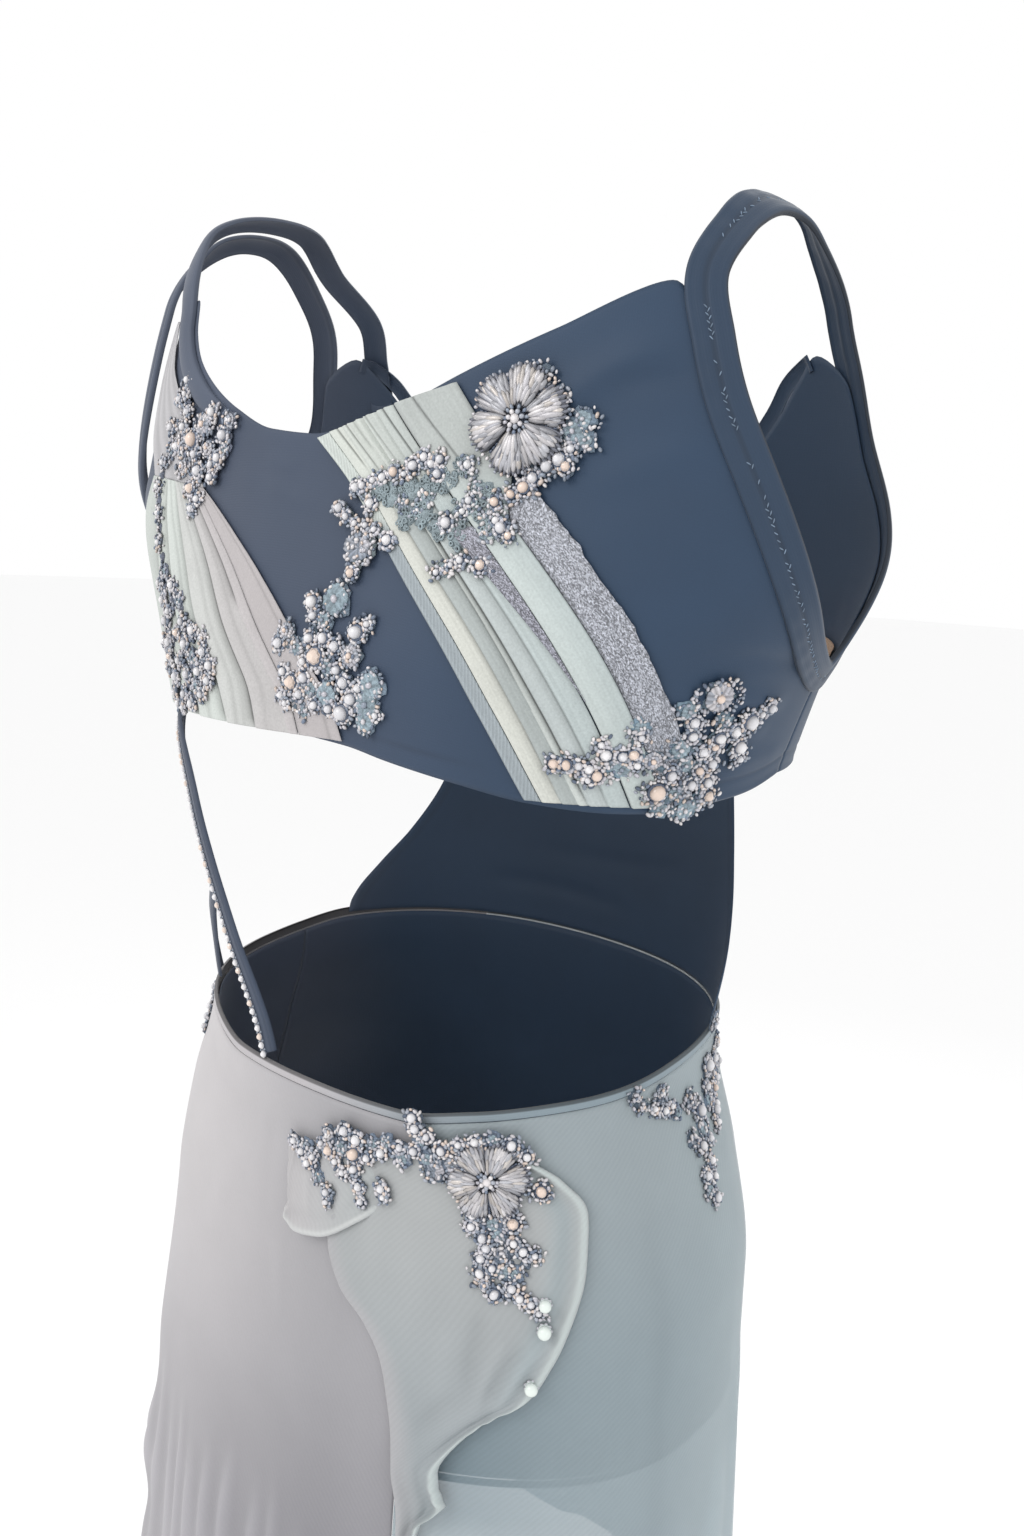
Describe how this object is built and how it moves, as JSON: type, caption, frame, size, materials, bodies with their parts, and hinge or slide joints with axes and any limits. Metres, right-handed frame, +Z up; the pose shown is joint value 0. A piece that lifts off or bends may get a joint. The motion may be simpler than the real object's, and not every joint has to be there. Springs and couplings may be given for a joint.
{
  "type": "gymnastics leotard",
  "caption": "Strappy crop-bodice gymnastics leotard with diagonal chiffon bands, beaded appliques, open-back brief and sheer draped overskirt.",
  "frame": {"origin": "wearer's body axis at the height of the waist seam", "axes": "+Z up along the wearer's body, wearer faces -Y, wearer's right side is -X"},
  "size_m": [0.3732, 0.2704, 0.7279],
  "materials": {
    "back_bodice_panel": "matte stretch knit",
    "front_bodice_panel": "matte stretch knit",
    "bust_lining": "soft lining",
    "hem_elastic": "covered elastic",
    "armhole_binding_right": "matte stretch knit",
    "armhole_binding_left": "matte folded binding",
    "neckline_strap_left": "matte folded binding",
    "front_neckline_binding": "matte stretch knit",
    "band_a_ribbed_edge": "sheer mesh",
    "band_a_chiffon": "pleated sheer chiffon",
    "band_a_pleat": "pleated sheer chiffon",
    "band_a_glitter_sliver": "silver-flecked tulle",
    "band_a_glitter_tulle": "silver-flecked tulle",
    "band_b_chiffon": "pleated sheer chiffon",
    "band_b_tulle_edge": "sheer mesh",
    "strap_mesh_insert": "sheer mesh",
    "front_band_chiffon": "pleated sheer chiffon",
    "front_band_glitter_tulle": "silver-flecked tulle",
    "front_centre_panel": "matte stretch knit",
    "jewelled_strap": "matte stretch knit",
    "forked_strap": "matte stretch knit",
    "strap_rhinestone_trim": "faceted silver",
    "brief_back": "matte stretch knit",
    "brief_front": "matte stretch knit",
    "gusset": "matte stretch knit",
    "leg_binding_right": "matte folded binding",
    "leg_binding_left": "matte folded binding",
    "waist_binding": "matte folded binding",
    "skirt_right_layer": "sheer mesh",
    "skirt_left_layer": "sheer mesh",
    "skirt_front_layer": "sheer mesh",
    "drape_overlay": "sheer mesh",
    "scalloped_flap": "sheer mesh",
    "flower_back": "satin cord petals",
    "flower_front": "satin cord petals",
    "flower_waist": "satin cord petals",
    "pearl_1": "pearl",
    "pearl_2": "pearl",
    "pearl_3": "pearl",
    "applique_back_left": "beaded corded lace",
    "applique_back_lower": "beaded corded lace",
    "applique_back_right": "beaded corded lace",
    "applique_left_strap": "beaded corded lace",
    "applique_left_side": "beaded corded lace",
    "applique_centre_back": "beaded corded lace",
    "applique_underarm": "beaded corded lace",
    "applique_front_bust": "beaded corded lace",
    "applique_front_left_bust": "beaded corded lace",
    "applique_waist_back": "beaded corded lace",
    "applique_drape": "beaded corded lace",
    "applique_hip_right": "beaded corded lace",
    "applique_hip_front": "beaded corded lace",
    "applique_hip_left": "beaded corded lace"
  },
  "bodies": {
    "leotard": {"back_bodice_panel": "back_bodice_panel", "front_bodice_panel": "front_bodice_panel", "bust_lining": "bust_lining", "hem_elastic": "hem_elastic", "armhole_binding_right": "armhole_binding_right", "armhole_binding_left": "armhole_binding_left", "neckline_strap_left": "neckline_strap_left", "front_neckline_binding": "front_neckline_binding", "band_a_ribbed_edge": "band_a_ribbed_edge", "band_a_chiffon": "band_a_chiffon", "band_a_pleat": "band_a_pleat", "band_a_glitter_sliver": "band_a_glitter_sliver", "band_a_glitter_tulle": "band_a_glitter_tulle", "band_b_chiffon": "band_b_chiffon", "band_b_tulle_edge": "band_b_tulle_edge", "strap_mesh_insert": "strap_mesh_insert", "front_band_chiffon": "front_band_chiffon", "front_band_glitter_tulle": "front_band_glitter_tulle", "front_centre_panel": "front_centre_panel", "jewelled_strap": "jewelled_strap", "forked_strap": "forked_strap", "strap_rhinestone_trim": "strap_rhinestone_trim", "brief_back": "brief_back", "brief_front": "brief_front", "gusset": "gusset", "leg_binding_right": "leg_binding_right", "leg_binding_left": "leg_binding_left", "waist_binding": "waist_binding", "skirt_right_layer": "skirt_right_layer", "skirt_left_layer": "skirt_left_layer", "flower_back": "flower_back", "flower_front": "flower_front", "applique_back_left": "applique_back_left", "applique_back_lower": "applique_back_lower", "applique_back_right": "applique_back_right", "applique_left_strap": "applique_left_strap", "applique_left_side": "applique_left_side", "applique_centre_back": "applique_centre_back", "applique_underarm": "applique_underarm", "applique_front_bust": "applique_front_bust", "applique_front_left_bust": "applique_front_left_bust", "applique_hip_right": "applique_hip_right", "applique_hip_front": "applique_hip_front", "applique_hip_left": "applique_hip_left"},
    "overlay": {"drape_overlay": "drape_overlay", "scalloped_flap": "scalloped_flap", "applique_waist_back": "applique_waist_back", "applique_drape": "applique_drape", "flower_waist": "flower_waist", "pearl_1": "pearl_1", "pearl_2": "pearl_2", "pearl_3": "pearl_3"},
    "front_layer": {"skirt_front_layer": "skirt_front_layer"}
  },
  "joints": [
    {"name": "overlay_swing", "type": "hinge", "parent": "leotard", "child": "overlay", "pos_m": [-0.05783, 0.08821, -0.0146], "axis": [0.9613, 0.2755, 0], "range_deg": [0, 40]},
    {"name": "front_layer_lift", "type": "hinge", "parent": "leotard", "child": "front_layer", "pos_m": [0, -0.1189, 0.006], "axis": [-1, 0, 0], "range_deg": [0, 30]}
  ]
}
